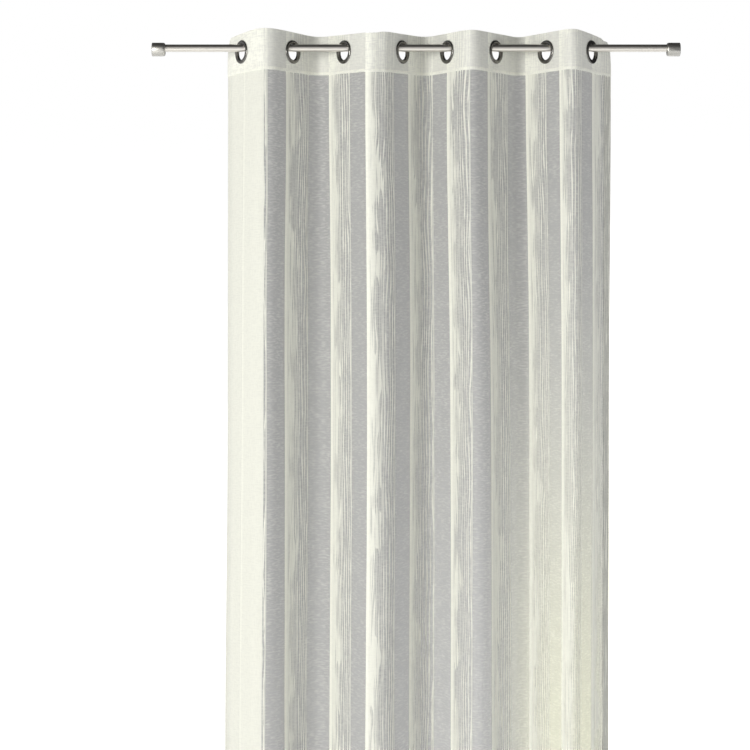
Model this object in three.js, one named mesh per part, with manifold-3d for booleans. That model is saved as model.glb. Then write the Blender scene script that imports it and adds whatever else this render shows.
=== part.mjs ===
// Sheer voile curtain hanging in deep folds from a plain steel rod, threaded through eyelets in its heading.
// Millimetres, with +Z up, +X to the right as one faces the curtain and +Y to the back.
// The origin lies on the axis of the rod, midway between its ends.
import * as THREE from 'three';
import { mergeVertices } from 'three/addons/utils/BufferGeometryUtils.js';
import Module from 'manifold-3d';

// Driving dimensions

// Air left between pieces that touch on the real curtain.
const GAP = 0.3;

// The rod, with its span measured over both end caps.
const ROD = { radius: 8.5, span: 1214, sides: 32 };

// An end cap: a loose sleeve that sits low on the rod, with a flat outer end and a rounded mouth.
const CAP = {
  radius: 15.5,
  length: 30,
  drop: 3,
  bevel: 1.2,
  shoulder: 6,
  mouth: 13,
  bore_depth: 24,
  sides: 32,
};

// An eyelet: radii of its throat, of the barrel that goes through the cloth and of its flanges, how far
// the crown and the rim of a flange stand off the middle of the cloth, and the width of the crown's slopes.
const EYELET = { throat: 18, barrel: 22, flange: 27, crown: 4.2, rim: 2.2, slope: 2.5, sides: 20 };

// The cloth: its drop from top edge to hem, the heading band with the height of its top edge above the
// middle of the eyelets, and the hem turned up at the bottom.
const DROP = 2450;
const HEADING = { height: 90, above_eyelet: 41, thickness: 2 };
const PANEL = { thickness: 1.2, hem_height: 80, hem_thickness: 2 };

// One row for each bend of the cloth, seen from above, from the left edge to the right one.
// x, y: where the two straight walls beside the bend would meet.
// round: how far from there the bend begins along each wall.
// crest: how far the top edge stands above its mean height, and lift: the same for the cloth below.
// sway_mid, sway_low: how far the fold has moved sideways a third and two thirds of the way down.
// deepen: how much further out the bend lies at the hem.
const BENDS = [
  { x: -437, y: 72, round: 0, crest: -44, lift: 1, sway_mid: -1, sway_low: -7, deepen: 4 },
  { x: -424, y: 36, round: 14, crest: -1, lift: 1, sway_mid: -1, sway_low: -7, deepen: 0 },
  { x: -345, y: -84, round: 58, crest: 5, lift: 1, sway_mid: -1, sway_low: -3, deepen: -7 },
  { x: -226, y: 80, round: 42, crest: 4, lift: 4, sway_mid: 4, sway_low: 0, deepen: -4 },
  { x: -108, y: -74, round: 18, crest: -7, lift: -6, sway_mid: 6, sway_low: 4, deepen: 6 },
  { x: -70, y: -56, round: 11, crest: -3, lift: -5, sway_mid: 6, sway_low: 4, deepen: 4 },
  { x: 22, y: 80, round: 42, crest: 4, lift: 3, sway_mid: 9, sway_low: 14, deepen: -6 },
  { x: 123, y: -80, round: 42, crest: 0, lift: 0, sway_mid: 17, sway_low: 18, deepen: -2 },
  { x: 241, y: 78, round: 44, crest: 4, lift: 4, sway_mid: 12, sway_low: 10, deepen: -8 },
  { x: 355, y: -74, round: 36, crest: 3, lift: 1, sway_mid: 5, sway_low: 2, deepen: 5 },
  { x: 436, y: 50, round: 12, crest: -2, lift: 2, sway_mid: -3, sway_low: -4, deepen: 0 },
  { x: 455, y: 66, round: 0, crest: -60, lift: 2, sway_mid: -4, sway_low: -5, deepen: 4 },
];

// How far down the sways of the table are reached, as shares of the way from heading to hem.
const MID_FALL = 0.34;
const LOW_FALL = 0.68;

// How much wider the bends are at the hem than in the heading.
const HEM_SOFTENING = 1.35;

// The part of a table row that a bend takes up on each side of its own place.
const BEND_REACH = 0.25;

// Steps of the mesh along a straight wall, along the walls at both side edges, around a bend, down the
// panel and around a cap's mouth.
const STEPS = { wall: 2, edge: 5, bend: 6, down: 10, mouth: 4 };

// Heights that follow from these: the eyelets hang on the rod by the top of their throats.
const throat_flat = EYELET.throat * Math.cos(Math.PI / EYELET.sides);
const eyelet_z = ROD.radius + GAP - throat_flat;
const top_z = eyelet_z + HEADING.above_eyelet;
const seam_z = top_z - HEADING.height;
const hem_z = top_z - DROP;

const wasm = await Module();
wasm.setup();

// A copy of a geometry with only positions left and its shared vertices joined.
function joined(geometry) {
  const copy = geometry.clone();
  copy.deleteAttribute('normal');
  copy.deleteAttribute('uv');
  return mergeVertices(copy);
}

// A closed geometry as a solid that can be cut.
function solidOf(geometry) {
  const closed = joined(geometry);
  const mesh = new wasm.Mesh({
    numProp: 3,
    vertProperties: new Float32Array(closed.attributes.position.array),
    triVerts: new Uint32Array(closed.index.array),
  });
  return new wasm.Manifold(mesh);
}

// A solid as a geometry again.
function geometryOf(solid) {
  const mesh = solid.getMesh();
  const geometry = new THREE.BufferGeometry();
  geometry.setAttribute('position', new THREE.BufferAttribute(new Float32Array(mesh.vertProperties), 3));
  geometry.setIndex(new THREE.BufferAttribute(new Uint32Array(mesh.triVerts), 1));
  geometry.computeVertexNormals();
  return geometry;
}

// A named mesh with its own material.
function piece(name, geometry, finish) {
  const mesh = new THREE.Mesh(geometry, new THREE.MeshStandardMaterial(finish));
  mesh.name = name;
  return mesh;
}

// Finishes

const VOILE = { color: 0xdedfd2, roughness: 0.9, metalness: 0, transparent: true, opacity: 0.88 };
const DOUBLED_VOILE = { color: 0xeeeedd, roughness: 0.9, metalness: 0 };
const SATIN_STEEL = { color: 0xc9c7bf, roughness: 0.32, metalness: 1 };
const DARK_STEEL = { color: 0x8d8b85, roughness: 0.28, metalness: 1 };

// Folds

// How far a value has come from one row of the bends' table to the next, a share of the way between them.
// It is eased at both ends, but beside a side edge it follows a quarter ellipse, which rounds the corners.
function easeAfter(row, share) {
  if (row === 0) return Math.sqrt(1 - (1 - share) ** 2);
  if (row === BENDS.length - 2) return 1 - Math.sqrt(1 - share ** 2);
  return THREE.MathUtils.smoothstep(share, 0, 1);
}

// A value of the bends' table at a place between two rows.
function between(column, place) {
  const row = Math.min(Math.floor(place), BENDS.length - 2);
  const ease = easeAfter(row, place - row);
  return THREE.MathUtils.lerp(BENDS[row][column], BENDS[row + 1][column], ease);
}

// The bends at one height, where fall runs from 0 at the heading to 1 at the hem.
function bendsAt(fall) {
  const to_mid = THREE.MathUtils.smoothstep(fall, 0, MID_FALL);
  const to_low = THREE.MathUtils.smoothstep(fall, MID_FALL, LOW_FALL);
  const soften = THREE.MathUtils.lerp(1, HEM_SOFTENING, fall);
  return BENDS.map((bend) => {
    const sway = bend.sway_mid * to_mid + (bend.sway_low - bend.sway_mid) * to_low;
    const depth = bend.y + Math.sign(bend.y) * bend.deepen * fall;
    return { corner: new THREE.Vector2(bend.x + sway, depth), round: bend.round * soften };
  });
}

// A point on the way from one corner to another, a given length along.
function along(from, to, length) {
  return to.clone().sub(from).setLength(length).add(from);
}

// The line of the cloth at one height as straight walls and rounded bends, from left to right. Each
// curve covers a stretch of the table: a bend what lies close to its own row, a wall what lies between.
function foldPath(fall) {
  const bends = bendsAt(fall);
  const stretches = [];
  let start = bends[0].corner;
  let place = 0;
  for (let row = 1; row < bends.length - 1; row += 1) {
    const { corner, round } = bends[row];
    const enter = along(corner, bends[row - 1].corner, round);
    const leave = along(corner, bends[row + 1].corner, round);
    const wall = new THREE.LineCurve(start, enter);
    const bend = new THREE.QuadraticBezierCurve(enter, corner, leave);
    const wall_steps = row === 1 ? STEPS.edge : STEPS.wall;
    stretches.push({ curve: wall, steps: wall_steps, from: place, to: row - BEND_REACH });
    stretches.push({ curve: bend, steps: STEPS.bend, from: row - BEND_REACH, to: row + BEND_REACH });
    start = leave;
    place = row + BEND_REACH;
  }
  const last = bends.length - 1;
  const end_wall = new THREE.LineCurve(start, bends[last].corner);
  stretches.push({ curve: end_wall, steps: STEPS.edge, from: place, to: last });
  return stretches;
}

// Columns of the cloth at one height: the point, the way to the back and the place in the table.
function columnsAt(fall) {
  const columns = [];
  for (const { curve, steps, from, to } of foldPath(fall)) {
    for (let step = columns.length ? 1 : 0; step <= steps; step += 1) {
      const share = step / steps;
      const tangent = curve.getTangent(share);
      columns.push({
        point: curve.getPoint(share),
        back: new THREE.Vector2(-tangent.y, tangent.x),
        place: THREE.MathUtils.lerp(from, to, share),
      });
    }
  }
  return columns;
}

// A closed sheet through rows of columns, from the top down, each row with its own thickness.
function sheet(rows) {
  const width = rows[0].columns.length;
  const positions = [];
  for (const side of [-0.5, 0.5]) {
    for (const { columns, thickness, height } of rows) {
      for (const column of columns) {
        const { point, back } = column;
        const offset = side * thickness;
        positions.push(point.x + back.x * offset, point.y + back.y * offset, height(column));
      }
    }
  }
  const id = (side, row, column) => (side * rows.length + row) * width + column;
  const triangles = [];
  const quad = (a, b, c, d) => triangles.push(a, b, c, a, c, d);
  const bottom = rows.length - 1;
  const right = width - 1;
  for (let row = 0; row < bottom; row += 1) {
    for (let column = 0; column < right; column += 1) {
      const [r, c] = [row + 1, column + 1];
      quad(id(0, row, column), id(0, r, column), id(0, r, c), id(0, row, c));
      quad(id(1, row, column), id(1, row, c), id(1, r, c), id(1, r, column));
    }
    quad(id(0, row + 1, 0), id(0, row, 0), id(1, row, 0), id(1, row + 1, 0));
    quad(id(0, row, right), id(0, row + 1, right), id(1, row + 1, right), id(1, row, right));
  }
  for (let column = 0; column < right; column += 1) {
    quad(id(0, 0, column), id(0, 0, column + 1), id(1, 0, column + 1), id(1, 0, column));
    quad(id(0, bottom, column + 1), id(0, bottom, column), id(1, bottom, column), id(1, bottom, column + 1));
  }
  const geometry = new THREE.BufferGeometry();
  geometry.setAttribute('position', new THREE.Float32BufferAttribute(positions, 3));
  geometry.setIndex(triangles);
  geometry.computeVertexNormals();
  return geometry;
}

// Eyelets

// Where each eyelet sits: where a wall of the cloth crosses the rod, and the turn of that wall about Z.
function eyeletSeats() {
  const seats = [];
  for (let row = 0; row < BENDS.length - 1; row += 1) {
    const [near, far] = [BENDS[row], BENDS[row + 1]];
    const crosses = Math.sign(near.y) !== Math.sign(far.y);
    if (!crosses) continue;
    const share = near.y / (near.y - far.y);
    const x = THREE.MathUtils.lerp(near.x, far.x, share);
    seats.push({ x, turn: Math.atan2(far.y - near.y, far.x - near.x) });
  }
  return seats;
}

// A pressed ring with two domed flanges and a channel between them for the cloth.
function eyeletGeometry() {
  const { throat, barrel, flange, crown, rim, slope, sides } = EYELET;
  const channel = HEADING.thickness / 2 + GAP;
  const front_half = [
    [barrel, channel],
    [flange, channel],
    [flange, rim],
    [flange - slope, crown],
    [throat + slope, crown],
    [throat, channel],
  ];
  const back_half = front_half.map(([radius, out]) => [radius, -out]).reverse();
  const outline = [...front_half, ...back_half, front_half[0]];
  const points = outline.map(([radius, out]) => new THREE.Vector2(radius, out));
  return joined(new THREE.LatheGeometry(points, sides));
}

// A round cutter through the heading, a little wider than an eyelet's barrel.
function holeCutter({ x, turn }) {
  const radius = EYELET.barrel + GAP;
  const length = 4 * EYELET.crown;
  const cutter = new THREE.CylinderGeometry(radius, radius, length, EYELET.sides);
  cutter.rotateZ(turn);
  cutter.translate(x, 0, eyelet_z);
  return solidOf(cutter);
}

function makeEyelets() {
  const eyelets = new THREE.Group();
  eyelets.position.z = eyelet_z;
  eyeletSeats().forEach(({ x, turn }, index) => {
    const eyelet = piece(`eyelet_${index + 1}`, eyeletGeometry(), DARK_STEEL);
    eyelet.position.x = x;
    eyelet.rotation.z = turn;
    eyelets.add(eyelet);
  });
  return eyelets;
}

// Cloth

// The stiffened band along the top, with a hole for each eyelet.
function makeHeading() {
  const columns = columnsAt(0);
  const thickness = HEADING.thickness;
  const top = (column) => top_z + between('crest', column.place);
  const bottom = (column) => seam_z + GAP / 2 + between('lift', column.place);
  let band = solidOf(sheet([{ columns, thickness, height: top }, { columns, thickness, height: bottom }]));
  for (const seat of eyeletSeats()) {
    band = band.subtract(holeCutter(seat));
  }
  return piece('heading', geometryOf(band), DOUBLED_VOILE);
}

// The voile below the seam, down to its hem, in one sheet.
function makePanel() {
  const panel_top = seam_z - GAP / 2;
  const hem_top = hem_z + PANEL.hem_height;
  const hem_fold = 2 * PANEL.hem_thickness;
  const levels = [];
  for (let step = 0; step <= STEPS.down; step += 1) {
    const z = THREE.MathUtils.lerp(panel_top, hem_top, step / STEPS.down);
    levels.push({ z, thickness: PANEL.thickness });
  }
  levels.push({ z: hem_top - hem_fold, thickness: PANEL.hem_thickness });
  levels.push({ z: hem_z, thickness: PANEL.hem_thickness });
  const rows = levels.map(({ z, thickness }) => ({
    columns: columnsAt((panel_top - z) / (panel_top - hem_z)),
    thickness,
    height: (column) => z + between('lift', column.place),
  }));
  return piece('panel', sheet(rows), VOILE);
}

// Rod and end caps

function makeRod() {
  const solid_end = CAP.length - CAP.bore_depth;
  const length = ROD.span - 2 * (solid_end + GAP);
  const bar = joined(new THREE.CylinderGeometry(ROD.radius, ROD.radius, length, ROD.sides));
  const rod = piece('rod', bar, SATIN_STEEL);
  rod.rotation.z = Math.PI / 2;
  return rod;
}

// A cap about its own Y axis, mouth at 0 and flat end at its length, bored off centre for the rod.
function capGeometry() {
  const { radius, length, drop, bevel, shoulder, mouth, bore_depth, sides } = CAP;
  const round = new THREE.Path();
  round.moveTo(mouth, 0);
  round.quadraticCurveTo(radius, 0, radius, shoulder);
  const outline = [
    new THREE.Vector2(0, 0),
    ...round.getPoints(STEPS.mouth),
    new THREE.Vector2(radius, length - bevel),
    new THREE.Vector2(radius - bevel, length),
    new THREE.Vector2(0, length),
  ];
  const bore = new THREE.CylinderGeometry(ROD.radius + GAP, ROD.radius + GAP, 2 * bore_depth, ROD.sides);
  bore.translate(0, 0, drop);
  return geometryOf(solidOf(new THREE.LatheGeometry(outline, sides)).subtract(solidOf(bore)));
}

function makeCap(name, side) {
  const cap = piece(name, capGeometry(), SATIN_STEEL);
  cap.rotation.z = (-side * Math.PI) / 2;
  cap.position.set(side * (ROD.span / 2 - CAP.length), 0, -CAP.drop);
  return cap;
}

// The whole curtain

const hardware = new THREE.Group();
hardware.add(makeRod(), makeCap('cap_left', -1), makeCap('cap_right', 1), makeEyelets());

const cloth = new THREE.Group();
cloth.add(makeHeading(), makePanel());

const curtain = new THREE.Group();
curtain.add(hardware, cloth);

export default curtain;
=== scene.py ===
"""Dress a sheer voile eyelet curtain and the plain steel rod that it hangs from.

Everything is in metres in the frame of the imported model: +Z up, +X to the right as one faces the
curtain and +Y to the back, with the origin on the axis of the rod.
"""

import bisect
import logging
import math
from dataclasses import dataclass, field
from enum import Enum
from functools import partialmethod
from typing import Callable, Sequence, Union

import bmesh
import bpy
from bmesh.types import BMesh
from bpy.types import ColorRamp, Material, Node, NodeSocket, NodeTree, Object
from mathutils import Matrix, Vector, noise


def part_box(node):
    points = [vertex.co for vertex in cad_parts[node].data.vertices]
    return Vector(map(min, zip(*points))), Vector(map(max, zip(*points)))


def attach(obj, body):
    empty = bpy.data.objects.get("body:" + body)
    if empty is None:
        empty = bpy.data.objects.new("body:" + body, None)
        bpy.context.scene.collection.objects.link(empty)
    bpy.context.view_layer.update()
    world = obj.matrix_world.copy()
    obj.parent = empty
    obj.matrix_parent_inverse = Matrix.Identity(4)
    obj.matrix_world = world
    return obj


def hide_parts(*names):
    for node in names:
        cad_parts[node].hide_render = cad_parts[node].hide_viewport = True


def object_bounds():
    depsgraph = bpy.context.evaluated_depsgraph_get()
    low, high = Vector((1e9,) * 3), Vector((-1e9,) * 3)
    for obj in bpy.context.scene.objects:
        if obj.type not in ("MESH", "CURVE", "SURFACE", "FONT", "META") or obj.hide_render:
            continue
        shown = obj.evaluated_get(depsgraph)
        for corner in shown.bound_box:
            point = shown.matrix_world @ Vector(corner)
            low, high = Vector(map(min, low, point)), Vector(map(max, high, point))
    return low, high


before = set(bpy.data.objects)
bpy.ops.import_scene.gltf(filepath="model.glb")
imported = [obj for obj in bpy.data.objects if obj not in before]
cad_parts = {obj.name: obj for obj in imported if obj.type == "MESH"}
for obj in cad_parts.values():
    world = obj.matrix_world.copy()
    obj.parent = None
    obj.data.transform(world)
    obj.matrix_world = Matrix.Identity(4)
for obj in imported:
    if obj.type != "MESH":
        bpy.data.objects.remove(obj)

CAD_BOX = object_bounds()
BODY = "root"
FLAT_MAP = "flat"
log = logging.getLogger("curtain")

Span = tuple[float, float]
Triple = tuple[float, float, float]
Colour = Triple


def lerp(low: "Operand", high: "Operand", share: "Operand") -> "Operand":
    """The value a share of the way from low to high."""
    return low + (high - low) * share


def dimmed(colour: Colour, share: float) -> Colour:
    """A colour at a share of its brightness."""
    return tuple(part * share for part in colour)


def smoothstep(value: float, low: float, high: float) -> float:
    """0 below low, 1 above high and an eased rise between them."""
    share = min(max((value - low) / (high - low), 0.0), 1.0)
    return share * share * (3.0 - 2.0 * share)


# Shader maths


class Flow:
    """A value on its way through the nodes of a finish; operators on it add Math nodes."""

    def __init__(self, book: "NodeBook", socket: NodeSocket) -> None:
        """Wrap an output socket of the nodes in a book."""
        self.book = book
        self.socket = socket

    def _with(self, operation: str, other: "Operand") -> "Flow":
        """This value and another, in a Math node."""
        return self.book.math(operation, self, other)

    def _after(self, operation: str, other: "Operand") -> "Flow":
        """Another value and then this one, in a Math node."""
        return self.book.math(operation, other, self)

    __add__, __radd__ = partialmethod(_with, "ADD"), partialmethod(_after, "ADD")
    __sub__, __rsub__ = partialmethod(_with, "SUBTRACT"), partialmethod(_after, "SUBTRACT")
    __mul__, __rmul__ = partialmethod(_with, "MULTIPLY"), partialmethod(_after, "MULTIPLY")
    __truediv__, __rtruediv__ = partialmethod(_with, "DIVIDE"), partialmethod(_after, "DIVIDE")
    at_least = partialmethod(_with, "MAXIMUM")

    def __abs__(self) -> "Flow":
        """The size of this value."""
        return self.book.math("ABSOLUTE", self)

    def __floor__(self) -> "Flow":
        """The whole number below this value."""
        return self.book.math("FLOOR", self)

    def rise(self, low: "Operand", high: "Operand") -> "Flow":
        """An eased step, 0 up to the low value and 1 from the high one."""
        inputs = {"Value": self, "From Min": low, "From Max": high}
        return self.book.first("ShaderNodeMapRange", {"interpolation_type": "SMOOTHSTEP"}, inputs)

    def wave(self) -> "Flow":
        """A sine of this value in turns, moved to lie between 0 and 1."""
        return self.book.math("SINE", self * math.tau) * 0.5 + 0.5


Operand = Union[Flow, float]


class NodeBook:
    """The nodes of one finish or of the surroundings, all added through one method."""

    def __init__(self, tree: NodeTree) -> None:
        """Start from an empty tree."""
        self.tree = tree
        tree.nodes.clear()

    def add(self, kind: str, settings: dict | None = None, inputs: dict | None = None) -> Node:
        """Add a node.

        Args:
            kind: the node's type.
            settings: properties to set first, with a ramp's stops under "stops".
            inputs: values or flows for its input sockets, by name or number.

        Returns:
            The new node.
        """
        node = self.tree.nodes.new(kind)
        for name, value in (settings or {}).items():
            if name == "stops":
                self._fill_ramp(node.color_ramp, value)
            else:
                setattr(node, name, value)
        for name, value in (inputs or {}).items():
            if isinstance(value, Flow):
                self.tree.links.new(value.socket, node.inputs[name])
            else:
                node.inputs[name].default_value = value
        return node

    @staticmethod
    def _fill_ramp(ramp: ColorRamp, stops: Sequence[tuple[float, Colour]]) -> None:
        """Set the stops of a colour ramp.

        Args:
            ramp: the ramp.
            stops: places and colours, from the first to the last.
        """
        while len(ramp.elements) < len(stops):
            ramp.elements.new(1.0)
        for element, (place, colour) in zip(ramp.elements, stops):
            element.position = place
            element.color = (*colour, 1.0)

    def first(self, kind: str, settings: dict | None = None, inputs: dict | None = None) -> Flow:
        """Add a node and follow its first output."""
        return Flow(self, self.add(kind, settings, inputs).outputs[0])

    def math(self, operation: str, *values: Operand) -> Flow:
        """Add a Math node on up to two values."""
        return self.first("ShaderNodeMath", {"operation": operation}, dict(enumerate(values)))

    def axes(self, kind: str, settings: dict, output: str) -> tuple[Flow, Flow, Flow]:
        """Add a coordinate node and split it.

        Args:
            kind: the node's type.
            settings: properties to set on it.
            output: the output that holds the coordinates.

        Returns:
            The three coordinates.
        """
        source = Flow(self, self.add(kind, settings).outputs[output])
        split = self.add("ShaderNodeSeparateXYZ", None, {0: source})
        return tuple(Flow(self, socket) for socket in split.outputs)

    def grain(self, x: Operand, y: Operand, z: Operand = 0.0, detail: float = 1.0) -> Flow:
        """Add cloudy noise.

        Args:
            x: first coordinate, in clouds.
            y: second coordinate.
            z: third coordinate.
            detail: octaves of finer clouds.

        Returns:
            The noise, from 0 to 1 about a mean of a half.
        """
        place = self.first("ShaderNodeCombineXYZ", None, {0: x, 1: y, 2: z})
        inputs = {"Vector": place, "Scale": 1.0, "Detail": detail, "Roughness": 0.5}
        return self.first("ShaderNodeTexNoise", {"noise_dimensions": "3D"}, inputs)

    def speckle(self, scales: Sequence[float], detail: float = 1.0) -> Flow:
        """Add cloudy noise on Object coordinates, with so many clouds a metre along each axis."""
        axes = self.axes("ShaderNodeTexCoord", {}, "Object")
        return self.grain(*(axis * scale for axis, scale in zip(axes, scales)), detail)

    def blend(self, share: Operand, low: Union[Flow, Colour], high: Union[Flow, Colour]) -> Flow:
        """Mix two colours.

        Args:
            share: how much of the second colour.
            low: the first colour.
            high: the second colour.

        Returns:
            The mixed colour.
        """
        low, high = (c if isinstance(c, Flow) else (*c, 1.0) for c in (low, high))
        node = self.add("ShaderNodeMix", {"data_type": "RGBA"}, {0: share, 6: low, 7: high})
        return Flow(self, node.outputs[2])

    def surface(self, inputs: dict) -> None:
        """Add the shader, with values or flows for its sockets, and the output."""
        shader = self.first("ShaderNodeBsdfPrincipled", None, inputs)
        self.add("ShaderNodeOutputMaterial", None, {"Surface": shader})


# Finishes


@dataclass(frozen=True)
class Finish:
    """What a piece is finished in; each kind of finish dresses its own nodes."""

    name: str

    def material(self) -> Material:
        """Make the finish.

        Returns:
            The material.
        """
        material = bpy.data.materials.new(self.name)
        material.use_nodes = True
        self.dress(NodeBook(material.node_tree))
        return material

    def dress(self, book: NodeBook) -> None:
        """Add the nodes of this kind of finish."""
        raise NotImplementedError


class Layers(Enum):
    """How many layers of voile lie on each other."""

    SINGLE = "single"
    DOUBLED = "doubled"


@dataclass(frozen=True)
class Clouds:
    """Cloudy noise on the flat cloth.

    across, down: clouds a metre; seed: which clouds they are; detail: octaves of finer clouds;
    cut: the levels between which they rise from 0 to 1, if they have edges.
    """

    across: float
    down: float
    seed: float
    detail: float = 1.0
    cut: tuple[float, ...] = ()

    def over(self, u: Flow, v: Flow) -> Flow:
        """The clouds at a place on the cloth, from 0 to 1."""
        clouds = u.book.grain(u * self.across, v * self.down, self.seed, self.detail)
        return clouds.rise(*self.cut) if self.cut else clouds


@dataclass(frozen=True)
class StripeRepeat:
    """The woven repeat across the cloth: solid edge, wood-grain streaks, thin lines, bare ground.

    Places and gaps are in metres and covers go from 0 to 1. The last stripes lie a little closer
    together, by a share of the repeat in all.
    """

    first: float = 0.089
    period: float = 0.1417
    squeeze_span: Span = (1.08, 1.32)
    squeeze: float = 0.33
    # Everything left of this is dense ivory: partly the real dense border, partly painted
    # highlight, the brightly lit left edge of the sheer and its first stripe painted in as solid
    # yarn.
    border_and_highlight: float = 0.165
    border_and_highlight_cover: float = 0.79
    edging: float = 0.1715
    edging_fade: Span = (0.00072, 0.0018)
    edging_cover: float = 0.36
    soft: float = 0.0012
    drift_by: float = 0.004
    row_shift: float = 3.71
    core_fade: Span = (0.0058, 0.0203)
    core_wander: float = 0.006
    solid: float = 0.029
    solid_wander: float = 0.11
    solid_fade: float = 0.011
    solid_cover: float = 0.86
    slit_cover: float = 0.46
    ring_gap: float = 0.0062
    ring_swirl: float = 4.4
    ring_reach: float = 1.6
    bulge_edge: Span = (-0.4, 0.4)
    streak_gap: float = 0.0056
    streak_swirl: float = 2.6
    streak_edge: Span = (0.30, 0.80)
    streak_cover: Span = (0.28, 0.72)
    between_streaks: float = 0.30
    grain_end: float = 0.048
    grain_fade: Span = (0.042, 0.052)
    line_end: float = 0.083
    line_gap: float = 0.0086
    line_edge: Span = (0.52, 0.82)
    line_cover: Span = (0.27, 0.79)
    haze_cover: float = 0.07
    lean_by: float = 0.022
    lean_shift: float = 3.1 / 26.0
    last_lean: float = 0.1
    last_fade: Span = (0.0010, 0.0023)
    last_cover: Span = (0.28, 0.60)
    drift: Clouds = Clouds(4.0, 2.2, 1.0)
    wander: Clouds = Clouds(5.3, 6.5, 2.0, detail=2.0)
    swirl: Clouds = Clouds(55.0, 5.0, 3.0, detail=1.5)
    slits: Clouds = Clouds(150.0, 6.0, 4.0, cut=(0.52, 0.66))
    lean: Clouds = Clouds(26.0, 4.5, 5.0)
    fill: Clouds = Clouds(7.7, 1.6, 6.0, cut=(0.32, 0.72))
    breaks: Clouds = Clouds(150.0, 16.0, 6.5, detail=2.0, cut=(0.36, 0.56))
    gaps: Clouds = Clouds(2.3, 9.0, 7.5, cut=(0.30, 0.42))

    def density(self, u: Flow, v: Flow) -> Flow:
        """Work out how thick the pattern yarn lies.

        Args:
            u: metres from the left edge of the flat cloth.
            v: metres down from its top edge.

        Returns:
            The cover of pattern yarn.
        """
        drift = (self.drift.over(u, v) - 0.5) * self.drift_by
        repeat = (u - self.first + drift) / self.period + u.rise(*self.squeeze_span) * self.squeeze
        stripe = math.floor(repeat)
        across = (repeat - stripe) * self.period
        down = v + stripe * self.row_shift
        past_margin = u.rise(self.first - self.soft, self.first)
        past_border_and_highlight = u.rise(self.border_and_highlight - self.soft, self.border_and_highlight)
        pattern = self._grain(stripe, across, down).at_least(self._lines(stripe, across, down))
        pattern = pattern * lerp(self.solid_cover, 1.0, past_border_and_highlight)
        # Partly painted highlight: the brightly lit left edge of the sheer and the first stripe
        # are painted as solid ivory here, beside the real dense border.
        border_and_highlight = (1.0 - past_margin).at_least((1.0 - past_border_and_highlight) * past_margin)
        off_edging = abs(u + drift - self.edging)
        edging = (1.0 - off_edging.rise(*self.edging_fade)) * self.edging_cover
        return pattern.at_least(border_and_highlight * self.border_and_highlight_cover).at_least(edging)

    def _grain(self, stripe: Flow, across: Flow, down: Flow) -> Flow:
        """The solid edge of a stripe and the wood-grain streaks that it breaks up into.

        Args:
            stripe: the stripe's number.
            across: metres across it.
            down: metres down it.

        Returns:
            The cover of pattern yarn.
        """
        swirl = self.swirl.over(across, down)
        wander = self.wander.over(stripe, down) - 0.5
        core = 1.0 - (across + wander * self.core_wander).rise(*self.core_fade)
        rings = (across / self.ring_gap + swirl * self.ring_swirl).wave() - 0.5
        edge = (self.solid + wander * self.solid_wander - across) / self.solid_fade
        bulge = (edge + rings * self.ring_reach).rise(*self.bulge_edge)
        bulge = bulge * lerp(self.solid_cover, self.slit_cover, self.slits.over(across, down))
        streaks = (across / self.streak_gap + swirl * self.streak_swirl).wave()
        streaks = lerp(self.between_streaks, 1.0, streaks.rise(*self.streak_edge))
        streaks = streaks * lerp(*self.streak_cover, self.fill.over(stripe, down))
        streaks = streaks * (1.0 - across.rise(*self.grain_fade))
        return core.at_least(bulge).at_least(streaks)

    def _lines(self, stripe: Flow, across: Flow, down: Flow) -> Flow:
        """The thin lines beside the grain and the brighter one that ends the stripe.

        Args:
            stripe: the stripe's number.
            across: metres across it.
            down: metres down it.

        Returns:
            The cover of pattern yarn.
        """
        lean = (self.lean.over(across + stripe * self.lean_shift, down) - 0.5) * self.lean_by
        threads = ((across + lean) / self.line_gap).wave().rise(*self.line_edge)
        within = across.rise(self.solid, self.grain_end)
        within = within * (1.0 - across.rise(self.line_end - self.soft, self.line_end))
        threads = threads * lerp(*self.line_cover, self.breaks.over(across, down))
        threads = (self.haze_cover + threads) * within
        off_line = abs(across + lean * self.last_lean - (self.line_end - self.soft))
        last = 1.0 - off_line.rise(*self.last_fade)
        return threads.at_least(last * lerp(*self.last_cover, self.gaps.over(stripe, down)))


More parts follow.
